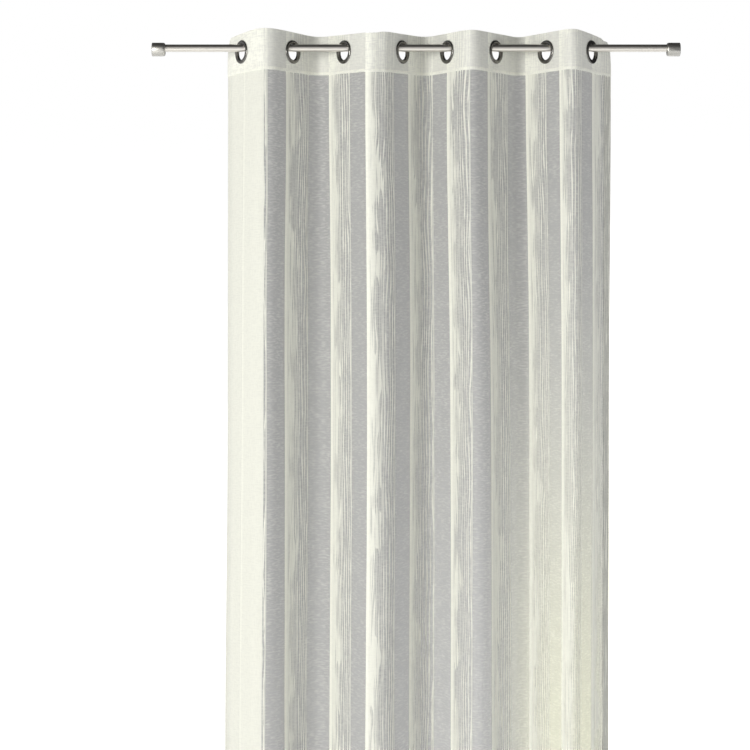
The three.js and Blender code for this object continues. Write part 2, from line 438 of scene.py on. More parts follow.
@dataclass(frozen=True)
class Voile(Finish):
    """Ivory voile: grey, open ground with thicker ivory yarn woven in by the repeat; in the sheer
    the ground's grey is painted shade, the darkness seen through the open weave painted into its
    yarn.
    """

    layers: Layers
    ground: Colour
    ivory: Colour
    ground_alpha: float
    ivory_alpha: float
    ground_cover: float
    mottle: float
    seam_fade: Span = (0.0825, 0.0835)
    seam_cover: float = 0.95
    right_hem_fade: Span = (1.378, 1.379)
    low_hem_fade: Span = (2.370, 2.371)
    hem_cover: float = 0.5
    mottle_edge: Span = (0.86, 1.22)
    slub_mean: float = 0.47
    slub_fleck: float = 0.95
    patch_fleck: float = 0.32
    yarn_fleck: float = 0.08
    slub_alpha: float = 0.14
    slub_relief: float = 0.3
    yarn_relief: float = 0.2
    relief_height: float = 0.0004
    roughness: Span = (0.86, 0.76)
    slubs: Clouds = Clouds(75.0, 280.0, 7.0)
    patches: Clouds = Clouds(24.0, 30.0, 8.0, detail=2.0)
    yarns: Clouds = Clouds(700.0, 14.0, 9.0)
    warp: Clouds = Clouds(330.0, 55.0, 11.0)
    weft: Clouds = Clouds(55.0, 330.0, 12.0)
    repeat: StripeRepeat = StripeRepeat()

    def dress(self, book: NodeBook) -> None:
        """Add the weave, which reads the cloth's own flat map.

        Args:
            book: the nodes to add to.
        """
        u, v, _ = book.axes("ShaderNodeUVMap", {"uv_map": FLAT_MAP}, "UV")
        cover = lerp(self.ground_cover, 1.0, self.repeat.density(u, v))
        if self.layers is Layers.DOUBLED:
            cover = cover.at_least(v.rise(*self.seam_fade) * self.seam_cover)
        else:
            hems = u.rise(*self.right_hem_fade).at_least(v.rise(*self.low_hem_fade))
            cover = cover.at_least(hems * self.hem_cover)
        slubs, yarns = self.slubs.over(u, v), self.yarns.over(u, v)
        patches = self.patches.over(u, v)
        flecks = (slubs - self.slub_mean) * self.slub_fleck + (patches - 0.5) * self.patch_fleck
        bare = (1.0 - cover) * (1.0 - cover)
        shade = cover + flecks * bare + (yarns - 0.5) * self.yarn_fleck
        tint = book.blend(shade, self.ground, self.ivory)
        worn = (self.warp.over(u, v) + self.weft.over(u, v)).rise(*self.mottle_edge) * self.mottle
        open_weave = self.ground_alpha + (slubs - 0.5) * self.slub_alpha
        relief = slubs * self.slub_relief + yarns * self.yarn_relief
        bump = {"Height": relief, "Distance": self.relief_height, "Strength": 0.4}
        book.surface({
            "Base Color": book.blend(worn, tint, self.ground),
            "Alpha": lerp(open_weave, self.ivory_alpha, cover),
            "Roughness": lerp(*self.roughness, cover),
            "Specular IOR Level": 0.25,
            "Sheen Weight": 0.08,
            "Sheen Roughness": 0.5,
            "Normal": book.first("ShaderNodeBump", None, bump),
        })


@dataclass(frozen=True)
class SatinSteel(Finish):
    """Steel drawn or turned to a satin finish, with a fine grain along one axis."""

    colour: Colour
    roughness: float
    along: Triple
    hairs_along: float = 18.0
    hairs_across: float = 500.0
    smears: Triple = (14.0, 40.0, 40.0)
    dull: float = 0.93
    hair_roughness: float = 0.04
    smear_roughness: float = 0.05

    def dress(self, book: NodeBook) -> None:
        """Add the grain, which reads Object coordinates.

        Args:
            book: the nodes to add to.
        """
        scales = [lerp(self.hairs_across, self.hairs_along, part) for part in self.along]
        hairs, smears = book.speckle(scales, 2.0), book.speckle(self.smears, 2.0)
        uneven = (hairs - 0.5) * self.hair_roughness + (smears - 0.5) * self.smear_roughness
        bright = hairs * 0.7 + smears * 0.3
        book.surface({
            "Base Color": book.blend(bright, dimmed(self.colour, self.dull), self.colour),
            "Metallic": 1.0,
            "Roughness": self.roughness + uneven,
        })


@dataclass(frozen=True)
class SewingThread(Finish):
    """Spun ivory sewing thread."""

    colour: Colour
    plies: Triple = (900.0, 900.0, 1400.0)
    dull: float = 0.8

    def dress(self, book: NodeBook) -> None:
        """Add the plies, which read Object coordinates.

        Args:
            book: the nodes to add to.
        """
        ply = book.speckle(self.plies)
        book.surface({
            "Base Color": book.blend(ply, dimmed(self.colour, self.dull), self.colour),
            "Roughness": 0.7 + 0.1 * ply,
            "Sheen Weight": 0.1,
        })


@dataclass(frozen=True)
class PaleSweep(Finish):
    """A pale studio floor, lit from below, that fades into the white around it."""

    colour: Colour
    glow: Colour
    fade: Span = (1.2, 4.2)
    patches: float = 1.3
    dull: float = 0.97

    def dress(self, book: NodeBook) -> None:
        """Add the floor's patches and its glow, which read Object coordinates.

        Args:
            book: the nodes to add to.
        """
        x, y, _ = book.axes("ShaderNodeTexCoord", {}, "Object")
        patches = book.grain(x * self.patches, y * self.patches, detail=3.0)
        away = book.math("SQRT", x * x + y * y).rise(*self.fade)
        book.surface({
            "Base Color": book.blend(patches, dimmed(self.colour, self.dull), self.colour),
            "Roughness": 0.6 + 0.1 * patches,
            "Emission Color": book.blend(away, self.glow, (1.0, 1.0, 1.0)),
            "Emission Strength": 1.0,
        })


# Folds


@dataclass(frozen=True)
class Bend:
    """One bend of the cloth, seen from above.

    x, y: where the straight walls beside it would meet; round: how far from there it begins;
    crest, lift: how far the top edge and the cloth below stand above their mean height;
    sway_mid, sway_low: sideways moves further down; deepen: how much further out it is at the hem.
    """

    x: float
    y: float
    round: float
    crest: float
    lift: float
    sway_mid: float
    sway_low: float
    deepen: float


BENDS = (
    Bend(-0.437, 0.072, 0.000, -0.044, 0.001, -0.001, -0.007, 0.004),
    Bend(-0.424, 0.036, 0.014, -0.001, 0.001, -0.001, -0.007, 0.000),
    Bend(-0.345, -0.084, 0.058, 0.005, 0.001, -0.001, -0.003, -0.007),
    Bend(-0.226, 0.080, 0.042, 0.004, 0.004, 0.004, 0.000, -0.004),
    Bend(-0.108, -0.074, 0.018, -0.007, -0.006, 0.006, 0.004, 0.006),
    Bend(-0.070, -0.056, 0.011, -0.003, -0.005, 0.006, 0.004, 0.004),
    Bend(0.022, 0.080, 0.042, 0.004, 0.003, 0.009, 0.014, -0.006),
    Bend(0.123, -0.080, 0.042, 0.000, 0.000, 0.017, 0.018, -0.002),
    Bend(0.241, 0.078, 0.026, 0.004, 0.004, 0.012, 0.010, -0.008),
    Bend(0.355, -0.074, 0.036, 0.003, 0.001, 0.005, 0.002, 0.005),
    Bend(0.436, 0.050, 0.012, -0.008, 0.002, -0.003, -0.004, 0.000),
    Bend(0.455, 0.066, 0.000, -0.060, 0.002, -0.004, -0.005, 0.004),
)


@dataclass(frozen=True)
class Spot:
    """A spot on the cloth's line: the point, the way along and the place in the table of bends."""

    point: Vector
    along: Vector
    place: float

    @property
    def back(self) -> Vector:
        """The way to the back of the cloth."""
        return Vector((-self.along.y, self.along.x, 0.0))


@dataclass(frozen=True)
class Hung:
    """A point of the hung cloth, the way to its back and how far it stands back from its fold."""

    point: Vector
    back: Vector
    relief: float


@dataclass
class FoldLine:
    """The line of the cloth at one height, seen from above and measured along the cloth."""

    spots: list[Spot] = field(default_factory=list)
    runs: list[float] = field(default_factory=list)

    def add(self, point: Vector, along: Vector, place: float) -> None:
        """Take the next spot of the line.

        Args:
            point: where it is.
            along: the way along the cloth there.
            place: its place in the table of bends.
        """
        step = (point - self.spots[-1].point).length if self.spots else 0.0
        self.runs.append(step + (self.runs[-1] if self.runs else 0.0))
        self.spots.append(Spot(point, along.normalized(), place))

    def spot(self, share: float) -> Spot:
        """Find a spot along the line.

        Args:
            share: how far along, from 0 at the left edge to 1 at the right one.

        Returns:
            The spot.
        """
        run = min(max(share, 0.0), 1.0) * self.runs[-1]
        after = min(max(bisect.bisect_left(self.runs, run), 1), len(self.runs) - 1)
        low, high = self.spots[after - 1 : after + 1]
        step = (run - self.runs[after - 1]) / (self.runs[after] - self.runs[after - 1])
        along = low.along.lerp(high.along, step).normalized()
        return Spot(low.point.lerp(high.point, step), along, lerp(low.place, high.place, step))


@dataclass(frozen=True)
class Seat:
    """Where an eyelet sits: its place along the rod and the turn of the cloth's wall about Z."""

    x: float
    turn: float


@dataclass(frozen=True)
class Drape:
    """The folds in which the cloth hangs, from the table of its bends."""

    bends: tuple[Bend, ...] = BENDS
    mid_fall: float = 0.34
    low_fall: float = 0.68
    softening: float = 1.35
    reach: float = 0.25
    bend_steps: int = 40

    def between(self, column: str, place: float) -> float:
        """Read the table between two rows.

        Args:
            column: the value's name.
            place: the row, with a fraction.

        Returns:
            The value, eased from one row to the next, and on a quarter ellipse beside the side
            edges, which the right-hand wall already leans into.
        """
        last = len(self.bends) - 1
        row = min(int(place), last - 1)
        step = min(place - row, 1.0)
        ease = smoothstep(step, 0.0, 1.0)
        if row == 0:
            ease = math.sqrt(1.0 - (1.0 - step) ** 2)
        if row == last - 2:
            ease = step**2
        if row == last - 1:
            ease = 1.0 - math.sqrt(1.0 - step**2)
        return lerp(getattr(self.bends[row], column), getattr(self.bends[row + 1], column), ease)

    def line(self, fall: float) -> FoldLine:
        """Lay out the cloth's line at one height.

        Args:
            fall: how far down, from 0 at the heading to 1 at the hem.

        Returns:
            The line.
        """
        to_mid = smoothstep(fall, 0.0, self.mid_fall)
        to_low = smoothstep(fall, self.mid_fall, self.low_fall)
        soften = lerp(1.0, self.softening, fall)
        corners = []
        for bend in self.bends:
            sway = bend.sway_mid * to_mid + (bend.sway_low - bend.sway_mid) * to_low
            depth = bend.y + math.copysign(1.0, bend.y) * bend.deepen * fall
            corners.append(Vector((bend.x + sway, depth)))
        line = FoldLine()
        line.add(corners[0], corners[1] - corners[0], 0.0)
        last = len(corners) - 1
        for row in range(1, last):
            corner, size = corners[row], self.bends[row].round * soften
            enter = corner + (corners[row - 1] - corner).normalized() * size
            leave = corner + (corners[row + 1] - corner).normalized() * size
            for step in range(self.bend_steps + 1):
                t = step / self.bend_steps
                point = enter * (1 - t) ** 2 + corner * (2 * t * (1 - t)) + leave * t**2
                tangent = (corner - enter) * (1 - t) + (leave - corner) * t
                line.add(point, tangent, row + lerp(-self.reach, self.reach, t))
        line.add(corners[last], corners[last] - corners[last - 1], float(last))
        return line

    def seats(self) -> list[Seat]:
        """Find where the walls of the cloth cross the rod.

        Returns:
            A seat for each eyelet, from left to right.
        """
        seats = []
        for near, far in zip(self.bends, self.bends[1:]):
            if near.y * far.y > 0.0:
                continue
            share = near.y / (near.y - far.y)
            turn = math.atan2(far.y - near.y, far.x - near.x)
            seats.append(Seat(lerp(near.x, far.x, share), turn))
        return seats


@dataclass(frozen=True)
class Ripple:
    """Soft, uneven relief of cloth: waves a metre across and down, their depth and their seed."""

    across: float
    down: float
    depth: float
    seed: float

    def height(self, u: float, v: float) -> float:
        """How far the cloth stands back at a place on it."""
        return noise.noise(Vector((u * self.across, v * self.down, self.seed))) * self.depth


# Meshes


HARD_EDGE = math.radians(38.0)
RING_EDGE = math.radians(50.0)
CLOTH_EDGE = math.radians(80.0)
MERGE = 1e-6


def add_mesh(name: str, bm: BMesh, finish: Material) -> Object:
    """Add a mesh to the scene.

    Args:
        name: the object's name.
        bm: its mesh, which is freed.
        finish: its material.

    Returns:
        The new object.
    """
    mesh = bpy.data.meshes.new(name)
    bm.to_mesh(mesh)
    bm.free()
    mesh.materials.append(finish)
    made = bpy.data.objects.new(name, mesh)
    bpy.context.scene.collection.objects.link(made)
    log.info("%s: %d faces", name, len(mesh.polygons))
    return made


def add_piece(name: str, bm: BMesh, finish: Material, node: str = "") -> Object:
    """Add a piece that rides on the curtain's body.

    Args:
        name: the piece's name.
        bm: its mesh, which is freed.
        finish: its material.
        node: the node that it replaces, if any.

    Returns:
        The piece.
    """
    piece = add_mesh(name, bm, finish)
    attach(piece, BODY)
    if node:
        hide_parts(node)
    return piece


def shade(bm: BMesh, sharp_angle: float) -> None:
    """Shade a mesh smooth between its sharp edges.

    Args:
        bm: the mesh.
        sharp_angle: the angle between two faces from which their edge stays sharp.
    """
    bm.normal_update()
    for face in bm.faces:
        face.smooth = True
    for edge in bm.edges:
        edge.smooth = not edge.is_boundary and edge.calc_face_angle(0.0) < sharp_angle


def stations(
    low: float, high: float, steps: int, flaps: Span = (0.0, 0.0), flap_steps: int = 0
) -> list[float]:
    """Places for the lines of a grid, with finer steps in the flaps beyond its ends.

    Args:
        low: the first place of the main stretch.
        high: its last place.
        steps: its steps.
        flaps: the lengths of the flaps, 0 for none.
        flap_steps: the steps of each flap.

    Returns:
        The places, in order.
    """
    before = [low - flaps[0] * (1 - step / flap_steps) for step in range(flap_steps) if flaps[0]]
    main = [lerp(low, high, step / steps) for step in range(steps + 1)]
    after = [high + flaps[1] * (step + 1) / flap_steps for step in range(flap_steps) if flaps[1]]
    return before + main + after


def cloth_grid(
    us: Sequence[float],
    vs: Sequence[float],
    place: Callable[[float, float], Vector],
    v_zero: float,
) -> BMesh:
    """Bend a flat grid of cloth into shape and keep its flat map.

    Args:
        us: places of the columns across the flat cloth.
        vs: places of the rows down it.
        place: where a point of the flat cloth hangs.
        v_zero: added to v in the flat map, which counts from the curtain's top edge.

    Returns:
        The mesh, with its faces to the front.
    """
    bm = bmesh.new()
    bmesh.ops.create_grid(bm, x_segments=len(us) - 1, y_segments=len(vs) - 1, size=0.5)
    flat = {}
    for vert in bm.verts:
        u = us[round((vert.co.x + 0.5) * (len(us) - 1))]
        v = vs[round((0.5 - vert.co.y) * (len(vs) - 1))]
        flat[vert] = (u, v)
    layer = bm.loops.layers.uv.new(FLAT_MAP)
    for vert, (u, v) in flat.items():
        vert.co = place(u, v)
        for loop in vert.link_loops:
            loop[layer].uv = (u, v + v_zero)
    shade(bm, CLOTH_EDGE)
    return bm


def thicken(piece: Object, thickness: float, group: str = "") -> None:
    """Give a sheet its thickness, evenly to both faces.

    Args:
        piece: the sheet.
        thickness: how thick it is.
        group: the vertex group that scales the thickness, if any.
    """
    modifier = piece.modifiers.new("cloth_thickness", "SOLIDIFY")
    modifier.thickness = thickness
    modifier.offset = 0.0
    modifier.use_even_offset = False
    modifier.vertex_group = group


def turned(rings: Sequence[Triple], sides: int) -> BMesh:
    """Loft a closed turned piece along X through rings.

    Args:
        rings: along, radius and rise of each ring, from one closed end to the other.
        sides: points of a ring.

    Returns:
        The closed mesh.
    """
    bm = bmesh.new()
    loops = []
    for along, radius, rise in rings:
        stand = Matrix.Translation((along, 0.0, rise)) @ Matrix.Rotation(math.pi / 2, 4, "Y")
        made = bmesh.ops.create_circle(bm, segments=sides, radius=radius, matrix=stand)
        loops.append(list({edge for vert in made["verts"] for edge in vert.link_edges}))
    for near, far in zip(loops, loops[1:]):
        bmesh.ops.bridge_loops(bm, edges=near + far)
    for loop in (loops[0], loops[-1]):
        bmesh.ops.contextual_create(bm, geom=loop)
    bmesh.ops.recalc_face_normals(bm, faces=bm.faces)
    shade(bm, HARD_EDGE)
    return bm


# Cloth


@dataclass(frozen=True)
class ClothSizes:
    """Sizes of the flat cloth and its heights when hung."""

    eyelet_z: float
    width: float = 1.40
    drop: float = 2.45
    heading: float = 0.090
    above_eyelet: float = 0.041
    side_hem: float = 0.022
    bottom_hem: float = 0.080

    @classmethod
    def measured(cls) -> "ClothSizes":
        """The sizes, with the height of the eyelets from the frame."""
        low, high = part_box("eyelet_1")
        return cls((low[2] + high[2]) / 2)

    @property
    def top_z(self) -> float:
        """Mean height of the top edge."""
        return self.eyelet_z + self.above_eyelet

    @property
    def seam_z(self) -> float:
        """Mean height of the heading's lower edge."""
        return self.top_z - self.heading

    @property
    def body(self) -> float:
        """Length of the panel from the seam to the fold of its hem."""
        return self.drop - self.heading


@dataclass(frozen=True)
class Stitch:
    """One machine stitch, its thread and its pitch along a row."""

    thread: Material
    pitch: float = 0.0034
    length: float = 0.0026
    width: float = 0.0006
    height: float = 0.0004
    sides: int = 6
    rounds: int = 4

    def row(self, path: Callable[[float], Hung], run: float, faces: Span) -> list[Matrix]:
        """Set out a row along a path on the cloth.

        Args:
            path: the cloth at a share of the path.
            run: the length of the path.
            faces: how far the stitches on each face lie from the middle of the cloth, to the back.

        Returns:
            The place of each stitch.
        """
        count = int(run / self.pitch)
        spots = [path((index + 0.5) / count) for index in range(count)]
        places = []
        for before, here, after in zip(spots[:1] + spots, spots, spots[1:] + spots[-1:]):
            along = (after.point - before.point).normalized()
            up = along.cross(here.back).normalized()
            turn = Matrix((along, up.cross(along), up)).transposed().to_4x4()
            places += [Matrix.Translation(here.point + here.back * face) @ turn for face in faces]
        return places

    def sew(self, name: str, places: Sequence[Matrix]) -> Object:
        """Sew stitches.

        Args:
            name: the piece's name.
            places: the place of each stitch.

        Returns:
            The stitches as one piece.
        """
        stitch, sewn = bmesh.new(), bmesh.new()
        size = Matrix.Diagonal((self.length / 2, self.height / 2, self.width / 2, 1.0))
        bmesh.ops.create_uvsphere(
            stitch, u_segments=self.sides, v_segments=self.rounds, radius=1.0, matrix=size
        )
        stitch.verts.index_update()
        points = [vert.co.copy() for vert in stitch.verts]
        faces = [[vert.index for vert in face.verts] for face in stitch.faces]
        stitch.free()
        for place in places:
            verts = [sewn.verts.new(place @ point) for point in points]
            for face in faces:
                sewn.faces.new([verts[index] for index in face])
        shade(sewn, math.pi)
        return add_piece(name, sewn, self.thread)


@dataclass
class HeadingBand:
    """The doubled, stiffened band along the top, with a hole for each eyelet."""

    sizes: ClothSizes
    drape: Drape
    finish: Material
    columns: int = 560
    rows: int = 26
    thickness: float = 0.0024
    plain_share: float = 0.68
    seam_height: float = 0.0085
    seam_soft: float = 0.002
    hole: float = 0.0224
    calm_from: float = 0.030
    calm_to: float = 0.055
    snap: float = 0.0022
    stitch_in: float = 0.0065
    stitch_off: float = 0.0013
    ripples: tuple[Ripple, ...] = (Ripple(11.0, 8.0, 0.0012, 2.2), Ripple(48.0, 14.0, 0.0005, 6.4))
    line: FoldLine = field(init=False)
    seats: list[Vector] = field(init=False)

    def __post_init__(self) -> None:
        """Lay out the band's line and the middles of its holes."""
        self.line = self.drape.line(0.0)
        self.seats = [Vector((seat.x, 0.0, self.sizes.eyelet_z)) for seat in self.drape.seats()]

    def hang(self, u: float, v: float) -> Hung:
        """Find where a point of the flat band hangs.

        Args:
            u: metres across the flat band.
            v: metres down from its top edge.

        Returns:
            The hung point.
        """
        sizes = self.sizes
        spot = self.line.spot(u / sizes.width)
        top = sizes.top_z + self.drape.between("crest", spot.place)
        bottom = sizes.seam_z + self.drape.between("lift", spot.place)
        middle = Vector((spot.point.x, spot.point.y, lerp(top, bottom, v / sizes.heading)))
        near = min((middle - seat).length for seat in self.seats)
        waves = sum(ripple.height(u, v) for ripple in self.ripples)
        relief = waves * smoothstep(near, self.calm_from, self.calm_to)
        return Hung(middle + spot.back * relief, spot.back, relief)

    def build(self) -> Object:
        """Make the band.

        Returns:
            The band.
        """
        sizes = self.sizes
        us = stations(0.0, sizes.width, self.columns)
        vs = stations(0.0, sizes.heading, self.rows)
        bm = cloth_grid(us, vs, lambda u, v: self.hang(u, v).point, 0.0)
        self._weigh(bm)
        for seat in self.seats:
            self._punch(bm, seat)
        piece = add_piece("heading_band", bm, self.finish, "heading")
        piece.vertex_groups.new(name="layers")
        thicken(piece, self.thickness, "layers")
        return piece

    def stitch(self, stitch: Stitch) -> Object:
        """Sew the band to the panel.

        Args:
            stitch: the stitch.

        Returns:
            The stitches.
        """
        width, down = self.sizes.width, self.sizes.heading - self.stitch_in
        faces = (-self.stitch_off, self.stitch_off)
        places = stitch.row(lambda share: self.hang(share * width, down), width, faces)
        return stitch.sew("seam_stitches", places)

    def _weigh(self, bm: BMesh) -> None:
        """Mark the turned-in strip along the seam as thicker than the rest of the band.

        Args:
            bm: the band's mesh.
        """
        flat = bm.loops.layers.uv[FLAT_MAP]
        layers = bm.verts.layers.deform.verify()
        strip_from = self.sizes.heading - self.seam_height
        for vert in bm.verts:
            v = vert.link_loops[0][flat].uv.y
            strip = smoothstep(v, strip_from - self.seam_soft, strip_from)
            vert[layers][0] = lerp(self.plain_share, 1.0, strip)

    def _punch(self, bm: BMesh, seat: Vector) -> None:
        """Cut a round hole.

        Args:
            bm: the band's mesh.
            seat: the middle of the hole.
        """
        gone = [face for face in bm.faces if (face.calc_center_median() - seat).length < self.hole]
        bmesh.ops.delete(bm, geom=gone, context="FACES")
        for vert in bm.verts:
            spoke = vert.co - seat
            if vert.is_boundary and spoke.length < self.hole + 2 * self.snap:
                vert.co = seat + spoke.normalized() * self.hole


@dataclass
class VoilePanel:
    """The sheer panel below the heading, with its hems turned to the back."""

    sizes: ClothSizes
    drape: Drape
    finish: Material
    heading: HeadingBand
    columns: int = 500
    rows: int = 76
    flap_steps: int = 5
    tuck: float = 0.004
    thickness: float = 0.0005
    hem_gap: float = 0.0012
    hem_turn: float = 0.004
    stitch_in: float = 0.003
    stitch_off: float = 0.0004
    seam_pull: float = 0.04
    seam_gather: float = 0.05
    hem_gather: float = 0.03
    pucker_from: float = 0.012
    calm: float = 0.12
    loose_from: float = 0.45
    side_calm: Span = (-0.02, 0.12)
    ripples: tuple[Ripple, ...] = (
        Ripple(3.6, 0.45, 0.0060, 1.7),
        Ripple(13.0, 0.70, 0.0030, 5.1),
        Ripple(37.0, 1.60, 0.0010, 9.3),
    )
    pucker: Ripple = Ripple(70.0, 3.0, 0.0016, 3.9)
    lines: dict[float, FoldLine] = field(default_factory=dict)

    def relief(self, u: float, v: float) -> float:
        """How far the cloth stands back from its folds at a place on it.

        Args:
            u: metres across the flat panel.
            v: metres down from the seam.

        Returns:
            The distance to the back.
        """
        sizes, below = self.sizes, max(v, 0.0)
        loose = lerp(self.calm, 1.0, smoothstep(v, 0.0, self.loose_from))
        loose *= smoothstep(min(u, sizes.width - u), *self.side_calm)
        waves = sum(ripple.height(u, v) for ripple in self.ripples) * loose
        from_hem = abs(sizes.body - sizes.bottom_hem - v)
        gathered = math.exp(-below / self.seam_gather) + math.exp(-from_hem / self.hem_gather)
        gathered *= smoothstep(v, 0.0, self.pucker_from)
        seam = self.heading.hang(u, sizes.heading).relief * math.exp(-below / self.seam_pull)
        return waves + seam + self.pucker.height(u, v) * gathered

    def hang(self, u: float, v: float) -> Hung:
        """Find where a point of the flat panel hangs.

        Args:
            u: metres across the flat panel, past a side edge for a point of its turned hem.
            v: metres down from the seam, past the lower edge for a point of the turned hem.

        Returns:
            The hung point.
        """
        sizes = self.sizes
        over_side = max(-u, u - sizes.width, 0.0)
        over_hem = max(v - sizes.body, 0.0)
        if over_side > 0.0:
            u = -u if u < 0.0 else 2 * sizes.width - u
        if over_hem > 0.0:
            v = 2 * sizes.body - v
        fall = min(max(v / sizes.body, 0.0), 1.0)
        if fall not in self.lines:
            self.lines[fall] = self.drape.line(fall)
        spot = self.lines[fall].spot(u / sizes.width)
        layers = sum(smoothstep(over, 0.0, self.hem_turn) for over in (over_side, over_hem))
        relief = layers * self.hem_gap + self.relief(u, v)
        z = sizes.seam_z - v + self.drape.between("lift", spot.place)
        middle = Vector((spot.point.x, spot.point.y, z))
        return Hung(middle + spot.back * relief, spot.back, relief)

    def build(self) -> Object:
        """Make the panel.

        Returns:
            The panel.
        """
        sizes, side = self.sizes, self.sizes.side_hem
        us = stations(0.0, sizes.width, self.columns, (side, side), self.flap_steps)
        vs = stations(-self.tuck, sizes.body, self.rows, (0.0, sizes.bottom_hem), self.flap_steps)
        bm = cloth_grid(us, vs, lambda u, v: self.hang(u, v).point, sizes.heading)
        piece = add_piece("voile_panel", bm, self.finish, "panel")
        thicken(piece, self.thickness)
        return piece

    def stitch(self, stitch: Stitch) -> Object:
        """Sew down the hems at the sides and along the bottom.

        Args:
            stitch: the stitch.

        Returns:
            The stitches.
        """
        width, body = self.sizes.width, self.sizes.body
        faces = (-self.stitch_off, self.hem_gap + self.stitch_off)
        low = body - self.sizes.bottom_hem + self.stitch_in
        places = stitch.row(lambda share: self.hang(share * width, low), width, faces)
        side = self.sizes.side_hem - self.stitch_in
        for u in (side, width - side):
            places += stitch.row(lambda share, u=u: self.hang(u, share * body), body, faces)
        return stitch.sew("hem_stitches", places)


# Hardware


@dataclass
class EyeletRing:
    """A pressed eyelet: two domed flanges and the barrel between them."""

    finish: Material
    number: int
    turn: float
    throat: float = 0.018
    flange: float = 0.027
    barrel: float = 0.022
    channel: float = 0.0013
    crown: float = 0.0043
    fullness: float = 0.75
    dome_steps: int = 10
    sides: int = 72

    def profile(self) -> list[tuple[float, float]]:
        """Outline of the ring's section.

        Returns:
            Radius and height off the middle of the cloth, in order around the section.
        """
        middle = (self.flange + self.throat) / 2
        half = (self.flange - self.throat) / 2
        dome = []
        for step in range(self.dome_steps + 1):
            angle = math.pi * step / self.dome_steps
            rise = lerp(self.channel, self.crown, math.sin(angle) ** self.fullness)
            dome.append((middle + half * math.cos(angle), rise))
        back = [(radius, -out) for radius, out in reversed(dome)]
        return dome + back + [(self.barrel, -self.channel), (self.barrel, self.channel)]

    def build(self) -> Object:
        """Make the ring about the middle of its node.

        Returns:
            The ring.
        """
        node = f"eyelet_{self.number}"
        low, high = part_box(node)
        bm = bmesh.new()
        section = [bm.verts.new((0.0, out, radius)) for radius, out in self.profile()]
        edges = [bm.edges.new(pair) for pair in zip(section, section[1:] + section[:1])]
        bmesh.ops.spin(
            bm, geom=section + edges, cent=(0, 0, 0), axis=(0, 1, 0),
            angle=math.tau, steps=self.sides, use_merge=True,
        )
        bmesh.ops.remove_doubles(bm, verts=bm.verts, dist=MERGE)
        bmesh.ops.recalc_face_normals(bm, faces=bm.faces)
        middle = (Vector(low) + Vector(high)) / 2
        stand = Matrix.Translation(middle) @ Matrix.Rotation(self.turn, 4, "Z")
        bmesh.ops.transform(bm, matrix=stand, verts=bm.verts)
        shade(bm, RING_EDGE)
        return add_piece(f"eyelet_ring_{self.number}", bm, self.finish, node)


@dataclass
class RodTube:
    """The plain rod."""

    finish: Material
    sides: int = 128
    rim: float = 0.0006

    def build(self) -> Object:
        """Make the rod in its node's place.

        Returns:
            The rod.
        """
        low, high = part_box("rod")
        radius = (high[2] - low[2]) / 2
        rings = [
            (low[0], radius - self.rim, 0.0),
            (low[0] + self.rim, radius, 0.0),
            (high[0] - self.rim, radius, 0.0),
            (high[0], radius - self.rim, 0.0),
        ]
        return add_piece("rod_tube", turned(rings, self.sides), self.finish, "rod")


@dataclass
class EndCap:
    """A loose sleeve on the rod's end, with a rounded mouth.

    side: 1 at the right end and -1 at the left one.
    """

    finish: Material
    node: str
    side: float
    mouth: float = 0.013
    shoulder: float = 0.006
    bevel: float = 0.0012
    bevel_middle: float = 0.00042
    bore_depth: float = 0.024
    bore_gap: float = 0.0003
    mouth_steps: int = 8
    sides: int = 96

    def build(self) -> Object:
        """Make the cap in its node's place.

        Returns:
            The cap.
        """
        low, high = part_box(self.node)
        rod_low, rod_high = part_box("rod")
        radius, rise = (high[2] - low[2]) / 2, (high[2] + low[2]) / 2
        inner, outer = (low[0], high[0]) if self.side > 0 else (high[0], low[0])
        bore = (rod_high[2] - rod_low[2]) / 2 + self.bore_gap
        rings = [
            (outer, radius - self.bevel, rise),
            (outer - self.side * self.bevel_middle, radius - self.bevel_middle, rise),
            (outer - self.side * self.bevel, radius, rise),
        ]
        for step in range(self.mouth_steps + 1):
            angle = math.pi / 2 * step / self.mouth_steps
            along = inner + self.side * self.shoulder * (1 - math.sin(angle))
            rings.append((along, lerp(self.mouth, radius, math.cos(angle)), rise))
        rings += [(inner, bore, 0.0), (inner + self.side * self.bore_depth, bore, 0.0)]
        bm = turned(rings, self.sides)
        return add_piece(f"end_{self.node}", bm, self.finish, self.node)


# Studio


class Lights(Enum):
    """What a lamp is there for: everything, or the cloth without its mirror image in the metal."""

    ALL = "all"
    CLOTH = "cloth"


@dataclass(frozen=True)
class SoftBox:
    """A soft rectangular lamp that points at a height on the curtain's middle line."""

    name: str
    place: Triple
    aim: float
    size: Span
    power: float
    colour: Colour = (1.0, 1.0, 1.0)
    lights: Lights = Lights.ALL

    def build(self) -> None:
        """Hang the lamp."""
        lamp = bpy.data.lights.new(self.name, "AREA")
        lamp.shape = "RECTANGLE"
        lamp.size, lamp.size_y = self.size
        lamp.energy = self.power
        lamp.color = self.colour
        light = bpy.data.objects.new(self.name, lamp)
        light.location = self.place
        way = Vector((0.0, 0.0, self.aim)) - Vector(self.place)
        light.rotation_euler = way.to_track_quat("-Z", "Y").to_euler()
        light.visible_camera = False
        light.visible_glossy = self.lights is not Lights.CLOTH
        bpy.context.scene.collection.objects.link(light)


@dataclass(frozen=True)
class PaleSide:
    """A paler side of the surroundings.

    right, back: the way to it; edge: where it begins and is full; gain: how much brighter it is
    for the cloth; mirrored: how much brighter, or darker, the metal mirrors it.
    """

    right: float
    back: float
    edge: Span
    gain: float
    mirrored: float

    def glow(self, right: Flow, back: Flow, mirrored: Flow) -> Flow:
        """What the side adds to the light from a direction."""
        facing = (back * self.back + right * self.right).rise(*self.edge)
        return facing * lerp(self.gain, self.mirrored, mirrored)


